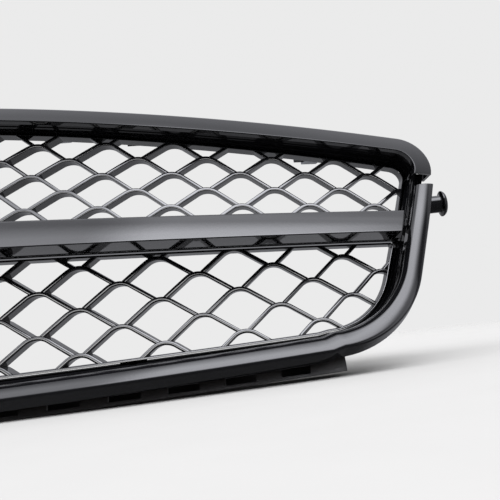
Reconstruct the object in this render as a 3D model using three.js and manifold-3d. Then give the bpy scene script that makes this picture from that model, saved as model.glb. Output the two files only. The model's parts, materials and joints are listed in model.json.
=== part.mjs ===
// Front grille of a passenger car: a bowed surround that leans back, two rows of arched
// lattice panels, one blade across the middle and a plain round badge on its seat.
//
// Millimetres. +X is to the right as seen from in front, +Y goes into the car, +Z is up.
// The origin is the middle of the part's footprint, level with the foot of the lower rail.
//
// The drawing has its own datum: the front face of the lattice on the centre plane, where
// the upper and lower panels meet. Every long moulding is drawn flat first, as (x, depth,
// z) with depth 0 on the lattice face, and is then bent onto the shell, which bows back to
// the sides and leans back. The last step moves the whole part from datum to origin.

import * as THREE from "three";
import { mergeVertices } from "three/addons/utils/BufferGeometryUtils.js";
import Module from "manifold-3d";

const wasm = await Module();
wasm.setup();

// Shell: how the flat drawing is bent
const BOW = 0.545e-3; // depth gained per square millimetre from the centre plane
const LEAN_UPPER = 0.534; // depth per millimetre of height above the blade
const LEAN_LOWER = 0.389; // the same below the blade
const KNEE = 10; // softness of the change between the two

// Outline of the surround
const CROWN = 111; // height constant of the top edge
const CROWN_SOFTNESS = 40; // how wide the rounding at the centre is
const SHOULDER_SLOPE = 0.1296; // fall of the top edge per millimetre
const SHOULDER_BOW = 5.92e-5; // its extra fall towards the corners
const SIDE_SPLAY = 0.43; // how far the sides spread per millimetre of height
const RIM_FACE = 11.9; // height of the rim's front face
const RIM_HALF = 339.2; // half widths are all measured at height zero
const RIM_END = 31; // height where the rim's corner returns stop
const TRIM_END = 22.8; // height where the lower trim's arms stop
const OPENING_HALF = 325;
const OPENING_DROP = { base: -1.3, bow: 4.9e-5 }; // fall of the opening's top below the rim's face
const OPENING_FOOT = { height: -65.9, bow: 5.2e-5 };
const WALL = 2.2; // moulding wall thickness
const GAP = 0.3; // clearance between neighbouring pieces
const FLANGE_BACK = 10; // depth of the mounting flange's rear face

// Blade across the middle
const BLADE_FRONT = -41;
const BLADE_BACK = -20.3;
const BLADE_HALF = 320;
const BLADE_TOP = { height: 20.4, slope: 0.081, bow: 7.6e-5 };
const BLADE_FOOT = { height: 2.6, slope: 0.0575, bow: 4e-5 };
const SHELF_INSET = 0.5; // the shelf is this much lower than the blade's top edge
const SHELF_LIP = 1.3; // and reaches this far below the blade's lower edge in front
const SHELF_RISE = 2.4; // its foot rises this much to the rear

// Lattice
const STEP_X = 21; // half of the arch pitch
const STEP_Z = 11.79; // height of one half row
const ARCH_RADIUS = 10;
const ARCH_SLOPE = 0.77; // slope of the straight flanks
const CELL_FLOOR = 2.6; // half width of the flat at the foot of an opening
const LATTICE_BAR = 2.3; // width of a bar seen from in front
const PANEL_DEPTH = 10;
const PANEL_BORDER = 1.2;
const POST_HALF = 11.5; // half width of the centre post between the panels

// Badge seat
const BADGE_RADIUS = 74;
const BADGE_HEIGHT = 13;
const BADGE_FRONT = -46;
const PLATE_RADIUS = 66;
const PEG_CIRCLE = 44; // radius of the circle on which the badge's pegs stand

// Lower rail
const RAIL_HALF = 274;
const RAIL_FRONT = -11.5;
const RAIL_BACK = 12;
const RAIL_FOOT = -84;
const RAIL_DECK = -74.6;
const RAIL_BOW = 3.3e-5;
const WINDOW = { pitch: 27.5, width: 15, height: 4.4, count: 19 };

// Fixings
const STUD = { x: 340.1, depth: -4, z: 11.4 }; // where a side stud's foot stands
const SCREW_BORE = 1.9;
const TAB_PLATE = 1.8;
const TAB_WIDTH = 14;
const BRACKET_PLATE = 2.2;
const BRACKET_WIDTH = 24;
const BRACKET_TONGUE = 30; // length of the level tongue behind the foot
const BRACKET_HEIGHT = 7.6; // height of the tongue's upper face above the bracket's screw
const TONGUE_HOLE = { radius: 3.3, back: 22 };
const CLIP_WIDTH = 12;
const CLIP_LENGTH = 13;

// Fineness of the meshes
const MAX_EDGE = 34; // longest edge that is bent without being split
const TOP_STEPS = 11; // from the centre to the upper corner
const CORNER_STEPS = 4; // around the tight upper corner
const SIDE_STEPS = 3; // down the side
const ELBOW_STEPS = 5; // around the wide lower corner
const FOOT_STEPS = 8; // from the lower corner to the centre
const ROUND_STEPS = 8; // around screws and their holes
const HOLE_STEPS = 12; // around the studs and the holes of the brackets
const BADGE_STEPS = 28;

// ---------------------------------------------------------------- shell and solids

function lean(z) {
  const mean = (LEAN_UPPER + LEAN_LOWER) / 2;
  const half = (LEAN_UPPER - LEAN_LOWER) / 2;
  return mean * z + half * (Math.hypot(z, KNEE) - KNEE);
}

function onShell(x, depth, z) {
  return new THREE.Vector3(x, BOW * x * x + lean(z) + depth, z);
}

// Axes of the shell at a point: X runs along it, Y goes straight through it.
function shellFrame(x, depth, z) {
  const along = new THREE.Vector3(1, 2 * BOW * x, 0).normalize();
  const rise = (lean(z + 1) - lean(z - 1)) / 2;
  const up = new THREE.Vector3(0, rise, 1);
  const through = new THREE.Vector3().crossVectors(up, along).normalize();
  const upright = new THREE.Vector3().crossVectors(along, through);
  const frame = new THREE.Matrix4().makeBasis(along, through, upright);
  return frame.setPosition(onShell(x, depth, z));
}

function positionsOnly(geometry) {
  const bare = geometry.clone();
  bare.deleteAttribute("normal");
  bare.deleteAttribute("uv");
  return mergeVertices(bare, 1e-4);
}

function signedVolume(positions, triangles) {
  const corner = (i) => new THREE.Vector3().fromArray(positions, 3 * triangles[i]);
  let volume = 0;
  for (let i = 0; i < triangles.length; i += 3) {
    volume += corner(i).dot(corner(i + 1).cross(corner(i + 2))) / 6;
  }
  return volume;
}

function indexed(positions, triangles) {
  const ordered = signedVolume(positions, triangles) < 0 ? triangles.slice().reverse() : triangles;
  const geometry = new THREE.BufferGeometry();
  geometry.setAttribute("position", new THREE.Float32BufferAttribute(positions, 3));
  geometry.setIndex(Array.from(ordered));
  return geometry;
}

// Splits every edge longer than the limit at its middle, so that bending stays smooth.
function refine(geometry, limit) {
  const source = positionsOnly(geometry);
  const points = Array.from(source.attributes.position.array);
  const middles = new Map();
  const spanX = (a, b) => Math.abs(points[3 * a] - points[3 * b]);
  const spanZ = (a, b) => Math.abs(points[3 * a + 2] - points[3 * b + 2]);
  const reach = (a, b) => Math.hypot(spanX(a, b), spanZ(a, b));
  const middle = (a, b) => {
    const key = a < b ? `${a}_${b}` : `${b}_${a}`;
    if (!middles.has(key)) {
      middles.set(key, points.length / 3);
      for (let k = 0; k < 3; k++) points.push((points[3 * a + k] + points[3 * b + k]) / 2);
    }
    return middles.get(key);
  };
  const pending = [];
  const index = source.index.array;
  for (let i = 0; i < index.length; i += 3) pending.push([index[i], index[i + 1], index[i + 2]]);
  const done = [];
  while (pending.length > 0) {
    let [a, b, c] = pending.pop();
    const longest = Math.max(reach(a, b), reach(b, c), reach(c, a));
    if (longest <= limit) {
      done.push(a, b, c);
      continue;
    }
    if (reach(b, c) === longest) [a, b, c] = [b, c, a];
    else if (reach(c, a) === longest) [a, b, c] = [c, a, b];
    const m = middle(a, b);
    pending.push([a, m, c], [m, b, c]);
  }
  return indexed(points, done);
}

function bend(geometry) {
  const bent = refine(geometry, MAX_EDGE);
  const place = bent.attributes.position;
  for (let i = 0; i < place.count; i++) {
    const point = onShell(place.getX(i), place.getY(i), place.getZ(i));
    place.setXYZ(i, point.x, point.y, point.z);
  }
  return bent;
}

function mirrored(geometry) {
  const source = positionsOnly(geometry);
  const positions = Array.from(source.attributes.position.array);
  for (let i = 0; i < positions.length; i += 3) positions[i] = -positions[i];
  return indexed(positions, Array.from(source.index.array));
}

function solid(geometry) {
  const bare = positionsOnly(geometry);
  return new wasm.Manifold(new wasm.Mesh({
    numProp: 3,
    vertProperties: new Float32Array(bare.attributes.position.array),
    triVerts: new Uint32Array(bare.index.array),
  }));
}

function fromSolid(body) {
  const mesh = body.getMesh();
  return indexed(Array.from(mesh.vertProperties), Array.from(mesh.triVerts));
}

function joined(...geometries) {
  return fromSolid(geometries.map(solid).reduce((whole, piece) => whole.add(piece)));
}

function cut(geometry, ...tools) {
  return fromSolid(tools.map(solid).reduce((whole, tool) => whole.subtract(tool), solid(geometry)));
}

// A box drawn flat, given by its low and high corners.
function block(low, high) {
  const size = high.map((value, k) => value - low[k]);
  const box = new THREE.BoxGeometry(...size);
  return box.translate(...low.map((value, k) => value + size[k] / 2));
}

// A prism whose face is drawn in x and z and whose depth runs from front to back.
function prism(points, front, back) {
  const shape = new THREE.Shape(points.map(([x, z]) => new THREE.Vector2(x, z)));
  const body = new THREE.ExtrudeGeometry(shape, { depth: back - front, bevelEnabled: false });
  return body.rotateX(Math.PI / 2).translate(0, back, 0);
}

// A solid of revolution about the Y axis, from [radius, y] points.
function turned(profile, segments) {
  const points = profile.map(([radius, y]) => new THREE.Vector2(radius, y));
  return new THREE.LatheGeometry(points, segments);
}

// ---------------------------------------------------------------- edges of the surround

const rimTop = (x) =>
  CROWN - SHOULDER_SLOPE * Math.hypot(x, CROWN_SOFTNESS) - SHOULDER_BOW * x * x;
const openingTop = (x) => rimTop(x) - RIM_FACE - OPENING_DROP.base - OPENING_DROP.bow * x * x;
const openingFoot = (x) => OPENING_FOOT.height + OPENING_FOOT.bow * x * x;
const winged = ({ height, slope, bow }) => (x) => height - slope * Math.abs(x) + bow * x * x;
const bladeTop = winged(BLADE_TOP);
const bladeFoot = winged(BLADE_FOOT);
const shelfTop = (x) => bladeTop(x) - SHELF_INSET;
const shelfFoot = (x) => bladeFoot(x) - SHELF_LIP;
const sideAt = (halfWidth) => (z) => halfWidth + SIDE_SPLAY * z;
const footAt = (height, rise) => (x) => height + rise * x * x;
const topAt = (drop) => (x) => rimTop(x) - drop;

function meet(curve, side, guess) {
  let z = guess;
  for (let i = 0; i < 30; i++) z = curve(side(z));
  return new THREE.Vector2(side(z), z);
}

// Points of the arc that rounds a corner, from the arm `before` to the arm `after`.
function roundCorner(corner, before, after, radius, steps) {
  const half = before.angleTo(after) / 2;
  const reach = radius / Math.tan(half);
  const start = corner.clone().addScaledVector(before, reach);
  const end = corner.clone().addScaledVector(after, reach);
  const inward = before.clone().add(after).normalize();
  const centre = corner.clone().addScaledVector(inward, radius / Math.sin(half));
  const from = start.clone().sub(centre);
  const sweep = Math.PI - 2 * half;
  const turn = Math.sign(from.cross(end.clone().sub(centre)));
  const arc = [];
  for (let i = 0; i <= steps; i++) {
    arc.push(from.clone().rotateAround(new THREE.Vector2(), (turn * sweep * i) / steps).add(centre));
  }
  return arc;
}

function between(from, to, steps) {
  const points = [];
  for (let i = 1; i < steps; i++) points.push(from.clone().lerp(to, i / steps));
  return points;
}

const SIDE_DOWN = new THREE.Vector2(-SIDE_SPLAY, -1).normalize();
const SIDE_UP = SIDE_DOWN.clone().negate();
const INWARD = new THREE.Vector2(-1, 0);

// The right half of an edge in three lists: the top run with its corner, the side run, and
// the lower corner with the foot run. Each point is [x, depth, z].
function edgeRuns({ top, side, foot, topRadius, footRadius, depth }) {
  const runs = { top: [], side: [], foot: [] };
  let sideStart = null;
  let sideEnd = null;
  if (top) {
    const corner = meet(top, side, 60);
    const back = new THREE.Vector2(-8, top(corner.x - 8) - corner.y).normalize();
    const arc = roundCorner(corner, back, SIDE_DOWN, topRadius, CORNER_STEPS);
    for (let i = 0; i < TOP_STEPS; i++) {
      const x = (arc[0].x * i) / TOP_STEPS;
      runs.top.push([x, depth.top, top(x)]);
    }
    arc.forEach((p, i) => {
      const share = i / CORNER_STEPS;
      runs.top.push([p.x, THREE.MathUtils.lerp(depth.top, depth.side, share), p.y]);
    });
    sideStart = arc[CORNER_STEPS];
  }
  if (foot) {
    const corner = meet(foot, side, -70);
    const arc = roundCorner(corner, SIDE_UP, INWARD, footRadius, ELBOW_STEPS);
    arc.forEach((p, i) => {
      const share = i / ELBOW_STEPS;
      runs.foot.push([p.x, THREE.MathUtils.lerp(depth.side, depth.foot, share), p.y]);
    });
    for (let i = FOOT_STEPS - 1; i >= 0; i--) {
      const x = (arc[ELBOW_STEPS].x * i) / FOOT_STEPS;
      runs.foot.push([x, depth.foot, foot(x)]);
    }
    sideEnd = arc[0];
  }
  const high = sideStart ?? new THREE.Vector2(side(TRIM_END), TRIM_END);
  const low = sideEnd ?? new THREE.Vector2(side(RIM_END), RIM_END);
  runs.side = between(high, low, SIDE_STEPS).map((p) => [p.x, depth.side, p.y]);
  if (!sideStart) runs.side.unshift([high.x, depth.side, high.y]);
  if (!sideEnd) runs.side.push([low.x, depth.side, low.y]);
  return runs;
}

const flip = ([x, depth, z]) => [-x, depth, z];

// A whole edge from its right half; open edges start and end on the sides.
function edgeLoop(edge) {
  const { top, side, foot } = edgeRuns(edge);
  const right = [...top, ...side, ...foot];
  if (edge.top && edge.foot) return [...right, ...right.slice(1, -1).reverse().map(flip)];
  if (edge.top) return [...right.slice(1).reverse(), ...right.map(flip)];
  return [...right, ...right.slice(0, -1).reverse().map(flip)];
}

// Joins equally long edges, one after another and the last to the first, into a solid.
function loft(edges, closed) {
  const stations = edges[0].length;
  const count = edges.length;
  const positions = edges.flat(2);
  const at = (edge, station) => (edge % count) * stations + (station % stations);
  const triangles = [];
  const last = closed ? stations : stations - 1;
  for (let e = 0; e < count; e++) {
    for (let s = 0; s < last; s++) {
      triangles.push(at(e, s), at(e + 1, s), at(e + 1, s + 1));
      triangles.push(at(e, s), at(e + 1, s + 1), at(e, s + 1));
    }
  }
  if (!closed) {
    for (const face of capFaces(edges, 0)) triangles.push(...face.reverse().map((e) => at(e, 0)));
    for (const face of capFaces(edges, last)) triangles.push(...face.map((e) => at(e, last)));
  }
  return indexed(positions, triangles);
}

// Triangles that close the section at one end, turning the way the section's corners run.
function capFaces(edges, station) {
  const inner = station === 0 ? 1 : station - 1;
  const [here, next] = [edges[0][station], edges[0][inner]];
  const steep = Math.abs(next[2] - here[2]) > Math.abs(next[0] - here[0]);
  const section = edges.map((edge) => {
    const [x, depth, z] = edge[station];
    return new THREE.Vector2(steep ? x : z, depth);
  });
  const { area } = THREE.ShapeUtils;
  return THREE.ShapeUtils.triangulateShape(section, []).map((face) => {
    const same = area(face.map((e) => section[e])) * area(section) > 0;
    return same ? face : face.reverse();
  });
}

// ---------------------------------------------------------------- main mouldings

function rimEdge(drop, halfWidth, topRadius, depth) {
  const depths = { top: depth, side: depth };
  return edgeLoop({ top: topAt(drop), side: sideAt(halfWidth), topRadius, depth: depths });
}

// The arched rim is an open channel: face, lower lip, and a flange over the surround.
function topRim() {
  const edges = [
    rimEdge(0, RIM_HALF, 21, -21),
    rimEdge(RIM_FACE, 325.7, 11.5, -25),
    rimEdge(RIM_FACE + 0.3, 325.4, 11.5, -19),
    rimEdge(RIM_FACE - WALL, 327.9, 13, -19),
    rimEdge(RIM_FACE - WALL, 327.9, 13, -22.5),
    rimEdge(WALL, 336.7, 19, -18.7),
    rimEdge(WALL, 336.7, 19, -2),
    rimEdge(0, RIM_HALF, 21, -2),
  ];
  return bend(loft(edges, false));
}

function trimEdge(halfWidth, foot, footRadius, sideDepth, footDepth) {
  const depth = { side: sideDepth, foot: footDepth };
  return edgeLoop({ side: sideAt(halfWidth), foot: footAt(...foot), footRadius, depth });
}

// The lower trim is a crowned strip with a lip inside and a return outside.
function lowerTrim() {
  const [inner, middle, outer] = [7.9e-5, 6.9e-5, 6e-5];
  const edges = [
    trimEdge(328.4, [-68.5, inner], 50.5, -12.4, -12.4),
    trimEdge(328.3, [-68.6, inner], 50.5, -22.5, -20.5),
    trimEdge(330.6, [-69.4, inner], 51.5, -24.8, -23.6),
    trimEdge(335.5, [-72.2, middle], 53.5, -25.9, -25.4),
    trimEdge(340.4, [-74.8, outer], 55.5, -24.4, -26.2),
    trimEdge(342, [-80.3, outer], 61, -14, -15),
    trimEdge(339.8, [-78.4, outer], 59, -14, -14),
    trimEdge(338.2, [-73.8, outer], 55, -22.3, -23.5),
    trimEdge(335.5, [-72, middle], 54, -23.7, -22.9),
    trimEdge(332.3, [-71.2, inner], 52, -22.8, -21.6),
    trimEdge(330.6, [-70.7, inner], 51, -21, -19.4),
    trimEdge(330.6, [-70.7, inner], 51, -12.4, -12.4),
  ];
  return bend(loft(edges, false));
}

function ringEdge(top, halfWidth, foot, topRadius, footRadius, front) {
  const depth = typeof front === "number" ? { top: front, side: front, foot: front } : front;
  return edgeLoop({ top, side: sideAt(halfWidth), foot, topRadius, footRadius, depth });
}

const SURROUND_HALF = OPENING_HALF + 2.6; // outside of the surround's side wall

// Seat for a locating stud, standing on the outside of the surround's side wall.
function studBoss() {
  const side = sideAt(SURROUND_HALF + 0.1);
  const outer = STUD.x - GAP;
  const [low, high] = [3, 20];
  const face = [[side(low), low], [outer, low], [outer, high], [side(high), high]];
  return bend(prism(face, -9.5, 1.5));
}

// A lug behind the gap between the rim's end and the trim's end.
function cornerLug() {
  const [low, high] = [19, 35];
  const inner = sideAt(SURROUND_HALF + 0.1);
  const outer = sideAt(SURROUND_HALF + 8.2);
  const face = [[inner(low), low], [outer(low), low], [outer(high), high], [inner(high), high]];
  return bend(prism(face, -9.5, -5.5));
}

// The surround: a tapering wall around the opening and a mounting flange behind it.
function surroundFrame() {
  const front = { top: -18.7, side: -12, foot: -12 };
  const thickness = 2.5;
  const flangeHalf = SURROUND_HALF + 9.4;
  const outerTop = (x) => openingTop(x) + thickness;
  const footBelow = (drop) => (x) => openingFoot(x) - drop;
  const frontDrop = 3.3;
  const flangeFront = FLANGE_BACK - thickness;
  const frontHalf = SURROUND_HALF + thickness;
  const edges = [
    ringEdge(topAt(RIM_FACE - 1.2), SURROUND_HALF, footBelow(frontDrop), 11, 50.5, front),
    ringEdge(openingTop, OPENING_HALF, openingFoot, 9, 44, FLANGE_BACK),
    ringEdge(topAt(1), flangeHalf, footBelow(7.9), 19, 50, FLANGE_BACK),
    ringEdge(topAt(1), flangeHalf, footBelow(7.9), 19, 50, flangeFront),
    ringEdge(outerTop, SURROUND_HALF, footBelow(thickness), 11, 46.5, flangeFront),
    ringEdge(topAt(RIM_FACE - 1.5 - WALL), frontHalf, footBelow(frontDrop + thickness), 13, 52.5, front),
  ];
  const ring = bend(loft(edges, true));
  const seats = [studBoss(), cornerLug()];
  const holes = [...TAB_PLACES.map(tabBore), ...BRACKET_PLACES.map(bracketBore)];
  return cut(joined(ring, ...seats, ...seats.map(mirrored)), ...holes);
}

// ---------------------------------------------------------------- lattice panels

// Centre line of one arch, with its crest at the origin.
function archLine(x) {
  const bank = Math.atan(ARCH_SLOPE);
  const blend = ARCH_RADIUS * Math.sin(bank);
  const run = Math.abs(x);
  if (run < blend) return Math.sqrt(ARCH_RADIUS ** 2 - run ** 2) - ARCH_RADIUS;
  return ARCH_RADIUS * (Math.cos(bank) - 1) - ARCH_SLOPE * (run - blend);
}

// The opening under one arch: its rounded top, two side corners and the crest below it.
function cellOpening() {
  const bank = Math.atan(ARCH_SLOPE);
  const half = LATTICE_BAR / 2;
  const ceiling = (x) => archLine(x) - half / Math.cos(bank);
  const floor = (x) => archLine(STEP_X - Math.abs(x)) - STEP_Z + half / Math.cos(bank);
  let [near, far] = [STEP_X / 2, STEP_X];
  for (let i = 0; i < 40; i++) {
    const middle = (near + far) / 2;
    if (ceiling(middle) > floor(middle)) near = middle;
    else far = middle;
  }
  const corner = [near, ceiling(near)];
  const inner = ARCH_RADIUS - half;
  const crown = [0.75, -0.75].map((turn) => {
    const angle = turn * bank;
    return [inner * Math.sin(angle), inner * Math.cos(angle) - ARCH_RADIUS];
  });
  const crest = archLine(CELL_FLOOR) - 2 * STEP_Z + half;
  const sill = [[-CELL_FLOOR, crest], [CELL_FLOOR, crest]];
  return [corner, ...crown, [-corner[0], corner[1]], ...sill];
}

// All openings of a lattice: `origin` is a crest, `across` and `down` its half steps.
function latticeCells({ origin, across, down, columns, rows, parity }) {
  const opening = cellOpening();
  const cells = [];
  for (let row = -2; row < rows; row++) {
    for (let column = 0; column < columns; column++) {
      if (Math.abs(column + row) % 2 !== parity) continue;
      const crestX = origin[0] + column * across[0] + row * down[0];
      const crestZ = origin[1] + column * across[1] + row * down[1];
      cells.push(opening.map(([u, v]) => [
        crestX + (u * across[0] - v * down[0]) / STEP_X,
        crestZ + (u * across[1]) / STEP_X + v,
      ]));
    }
  }
  return cells;
}

// The right half of a panel: a bordered plate with the lattice openings cut through.
function latticePanel(top, foot, topRadius, footRadius, lattice) {
  const outline = (inset) => {
    const depth = { top: 0, side: 0, foot: 0 };
    const side = sideAt(OPENING_HALF - GAP - inset);
    const edge = { top: (x) => top(x) - inset, side, foot: (x) => foot(x) + inset };
    const runs = edgeRuns({ ...edge, topRadius, footRadius, depth });
    const inner = POST_HALF + GAP + inset;
    const points = [...runs.top, ...runs.side, ...runs.foot].map(([x, , z]) => [x, z]);
    const kept = points.filter(([x]) => x > inner + 1);
    return [[inner, edge.top(inner)], ...kept, [inner, edge.foot(inner)]];
  };
  const plate = solid(prism(outline(0), 0, PANEL_DEPTH));
  const field = solid(prism(outline(PANEL_BORDER), -1, PANEL_DEPTH + 1));
  const smallest = 40;
  const openings = latticeCells(lattice)
    .map((cell) => solid(prism(cell, -1, PANEL_DEPTH + 1)))
    .map((cell) => field.intersect(cell))
    .filter((cell) => cell.volume() > smallest);
  return bend(fromSolid(openings.reduce((whole, cell) => whole.subtract(cell), plate)));
}

const UPPER_LATTICE = {
  origin: [0, 82],
  across: [STEP_X, -1.323],
  down: [-0.384, -STEP_Z],
  columns: 18,
  rows: 7,
  parity: 1,
};

const LOWER_LATTICE = {
  origin: [10.93, -15.6],
  across: [STEP_X, 0.735],
  down: [0.688, -STEP_Z],
  columns: 16,
  rows: 5,
  parity: 0,
};

function upperPanel() {
  const foot = (x) => shelfTop(x) - SHELF_INSET + GAP;
  return latticePanel((x) => openingTop(x) - 2 * GAP, foot, 9, 2, UPPER_LATTICE);
}

function lowerPanel() {
  const top = (x) => shelfFoot(x) + 0.65 * SHELF_RISE - GAP;
  return latticePanel(top, (x) => openingFoot(x) + GAP, 2, 44, LOWER_LATTICE);
}

// ---------------------------------------------------------------- blade and its shelf

// One long edge of the blade, from the badge to the slanted end.
function bladeEdge(start, halfWidth, height, depth) {
  const steps = 8;
  let end = halfWidth;
  for (let i = 0; i < 20; i++) end = halfWidth + SIDE_SPLAY * height(end);
  const points = [];
  for (let i = 0; i <= steps; i++) {
    const x = start + ((end - start) * i) / steps;
    points.push([x, depth, height(x)]);
  }
  return points;
}

// The blade is a channel that opens to the rear, with a face that looks slightly upwards.
function blade() {
  const start = BADGE_RADIUS + 1;
  const edge = (height, depth) => bladeEdge(start, BLADE_HALF, height, depth);
  return bend(loft([
    edge(bladeTop, BLADE_FRONT + 4.5),
    edge(bladeFoot, BLADE_FRONT),
    edge(shelfFoot, BLADE_BACK),
    edge((x) => shelfFoot(x) + WALL, BLADE_BACK),
    edge((x) => bladeFoot(x) + WALL, BLADE_FRONT + 2.8),
    edge((x) => bladeTop(x) - WALL, BLADE_FRONT + 6.5),
    edge((x) => shelfTop(x) - WALL, BLADE_BACK),
    edge(shelfTop, BLADE_BACK),
  ], false));
}

// The shelf carries the blade and closes the slot between the two lattice rows.
function bladeShelf() {
  const start = POST_HALF + GAP;
  const front = BLADE_BACK + 2 * GAP;
  const back = PANEL_DEPTH;
  const edge = (height, depth) => bladeEdge(start, OPENING_HALF - 0.5, height, depth);
  return bend(loft([
    edge(shelfTop, front),
    edge(shelfFoot, front),
    edge((x) => shelfFoot(x) + SHELF_RISE, back),
    edge((x) => shelfFoot(x) + SHELF_RISE + WALL, back),
    edge((x) => shelfFoot(x) + WALL, front + WALL),
    edge((x) => shelfTop(x) - WALL, front + WALL),
    edge((x) => shelfTop(x) - SHELF_INSET - WALL, back),
    edge((x) => shelfTop(x) - SHELF_INSET, back),
  ], false));
}

// ---------------------------------------------------------------- badge

const PEG_SEAT = BADGE_FRONT + 3; // back of the cup's face, where the badge is held
const BADGE_PEGS = [45, 135, 225, 315].map((degrees) => {
  const angle = THREE.MathUtils.degToRad(degrees);
  return [PEG_CIRCLE * Math.cos(angle), BADGE_HEIGHT + PEG_CIRCLE * Math.sin(angle)];
});

function badgeTurned(profile) {
  return turned(profile, BADGE_STEPS).translate(0, 0, BADGE_HEIGHT);
}

// The badge seat: a round cup in front and the centre post that ties it to the surround.
function badgeCarrier() {
  const [back, wall] = [BLADE_BACK, 3];
  const cup = badgeTurned([
    [0, BADGE_FRONT], [BADGE_RADIUS, BADGE_FRONT], [BADGE_RADIUS, back],
    [BADGE_RADIUS - wall, back], [BADGE_RADIUS - wall, PEG_SEAT], [0, PEG_SEAT],
  ]);
  const [low, high] = [BADGE_HEIGHT - 55, BADGE_HEIGHT + 55];
  const inner = POST_HALF - wall;
  const web = block([-POST_HALF, PEG_SEAT - 1, low], [POST_HALF, 1, high]);
  const hollow = block([-inner, PEG_SEAT, low + wall], [inner, PANEL_DEPTH + 1, high - wall]);
  const [foot, top] = [openingFoot(0) + GAP, openingTop(0) - GAP - 1.2];
  const post = block([-POST_HALF, 0, foot], [POST_HALF, PANEL_DEPTH, top]);
  const pegHoles = BADGE_PEGS.map(([x, z]) => bore(x, PEG_SEAT, z, 2.6));
  return cut(bend(cut(joined(cup, web, post), hollow)), ...pegHoles);
}

function badgeRing() {
  const back = BADGE_FRONT - GAP;
  const inner = PLATE_RADIUS + GAP;
  return bend(badgeTurned([
    [inner, back], [inner, back - 4.5], [inner + 1.7, back - 6], [BADGE_RADIUS - 2, back - 5.6],
    [BADGE_RADIUS, back - 3], [BADGE_RADIUS, back], [inner, back],
  ]));
}

// The plate floats a little in front of the cup, inside the ring, on four pegs.
function badgePlate() {
  const back = BADGE_FRONT - 4 * GAP;
  const [edge, dome] = [2, 3.2];
  const rings = [1, 0.73, 0.36, 0];
  const front = rings.map((part) => [PLATE_RADIUS * part, back - edge - dome * (1 - part * part)]);
  const disc = bend(badgeTurned([[0, back], [PLATE_RADIUS, back], ...front]));
  const pegs = BADGE_PEGS.map(([x, z]) => pin(x, PEG_SEAT, z, 2, 11));
  return joined(disc, ...pegs);
}

// ---------------------------------------------------------------- small parts

// A turned piece whose axis runs straight through the shell at a point.
function seated(profile, x, depth, z, lift = 0) {
  const body = turned(profile, ROUND_STEPS).translate(0, lift, 0);
  return body.applyMatrix4(shellFrame(x, depth, z));
}

function pin(x, depth, z, radius, length) {
  const half = length / 2;
  return seated([[0, -half], [radius, -half], [radius, half], [0, half]], x, depth, z);
}

const bore = (x, depth, z, radius) => pin(x, depth, z, radius, 18);

// A pan-head screw; the head sits on its seat at y 0 and the shank points forward.
const SCREW = [[0, -7], [1.5, -6], [1.5, 0.2], [3.4, 0.2], [2.6, 2.4], [0, 2.4]];

const BADGE_NUT = [[2.4, 0], [5, 0], [3.6, 2.4], [2.4, 2.4], [2.4, 0]];
const badgeNut = ([x, z]) => seated(BADGE_NUT, x, PEG_SEAT, z, 0.6);

const TAB_SEAT = FLANGE_BACK + GAP; // depth of the tabs' front faces
const BRACKET_SEAT = FLANGE_BACK + 2 * GAP;
const tabBore = ([x, z]) => bore(x, TAB_SEAT, z, SCREW_BORE);
const tabScrew = ([x, z]) => seated(SCREW, x, TAB_SEAT, z, TAB_PLATE + 0.1);
const bracketBore = ([x, z]) => bore(x, BRACKET_SEAT, z, SCREW_BORE);
const bracketScrew = ([x, z]) => seated(SCREW, x, BRACKET_SEAT, z, BRACKET_PLATE);

const onBothSides = (places) => places.flatMap(([x, z]) => [[x, z], [-x, z]]);
const TAB_PLACES = onBothSides([
  ...[60, 165, 250].map((x) => [x, openingTop(x) + 4.2]),
  [165, openingFoot(165) - 4.9],
]);
const BRACKET_PLACES = onBothSides([110, 290].map((x) => [x, openingTop(x) + 4.7]));

// A tab on the back of the flange that keeps a lattice panel in place.
function panelTab([x, z]) {
  const [outward, inward] = [3.4, z > 0 ? 5.1 : 6];
  const [low, high] = z > 0 ? [-inward, outward] : [-outward, inward];
  const plate = block([-TAB_WIDTH / 2, 0, low], [TAB_WIDTH / 2, TAB_PLATE, high]);
  return cut(plate.applyMatrix4(shellFrame(x, TAB_SEAT, z)), tabBore([x, z]));
}

// A folded steel bracket: its foot leans on the flange, its tongue lies level behind it.
function bracketShape([x, z]) {
  const yaw = Math.atan(2 * BOW * x);
  const slope = ((lean(z + 1) - lean(z - 1)) / 2) * Math.cos(yaw);
  const [low, high] = [-3.3, BRACKET_HEIGHT];
  const fold = high - BRACKET_PLATE;
  const outline = [
    [slope * low, low], [slope * low + BRACKET_PLATE, low], [slope * fold + BRACKET_PLATE, fold],
    [BRACKET_TONGUE, fold], [BRACKET_TONGUE, high], [slope * high, high],
  ];
  const shape = new THREE.Shape(outline.map(([y, up]) => new THREE.Vector2(y, up)));
  const body = new THREE.ExtrudeGeometry(shape, { depth: BRACKET_WIDTH, bevelEnabled: false });
  body.applyMatrix4(new THREE.Matrix4().set(0, 0, 1, 0, 1, 0, 0, 0, 0, 1, 0, 0, 0, 0, 0, 1));
  return body.translate(-BRACKET_WIDTH / 2, 0, 0);
}

function bracketFrame([x, z]) {
  const frame = new THREE.Matrix4().makeRotationZ(Math.atan(2 * BOW * x));
  return frame.setPosition(onShell(x, BRACKET_SEAT, z));
}

// An upright drill through the tongue's fixing hole.
function tongueDrill(radius) {
  const drill = new THREE.CylinderGeometry(radius, radius, 20, HOLE_STEPS).rotateX(Math.PI / 2);
  return drill.translate(0, TONGUE_HOLE.back, BRACKET_HEIGHT);
}

function hoodBracket(place) {
  const body = cut(bracketShape(place), tongueDrill(TONGUE_HOLE.radius));
  return cut(body.applyMatrix4(bracketFrame(place)), bracketBore(place));
}

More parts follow.
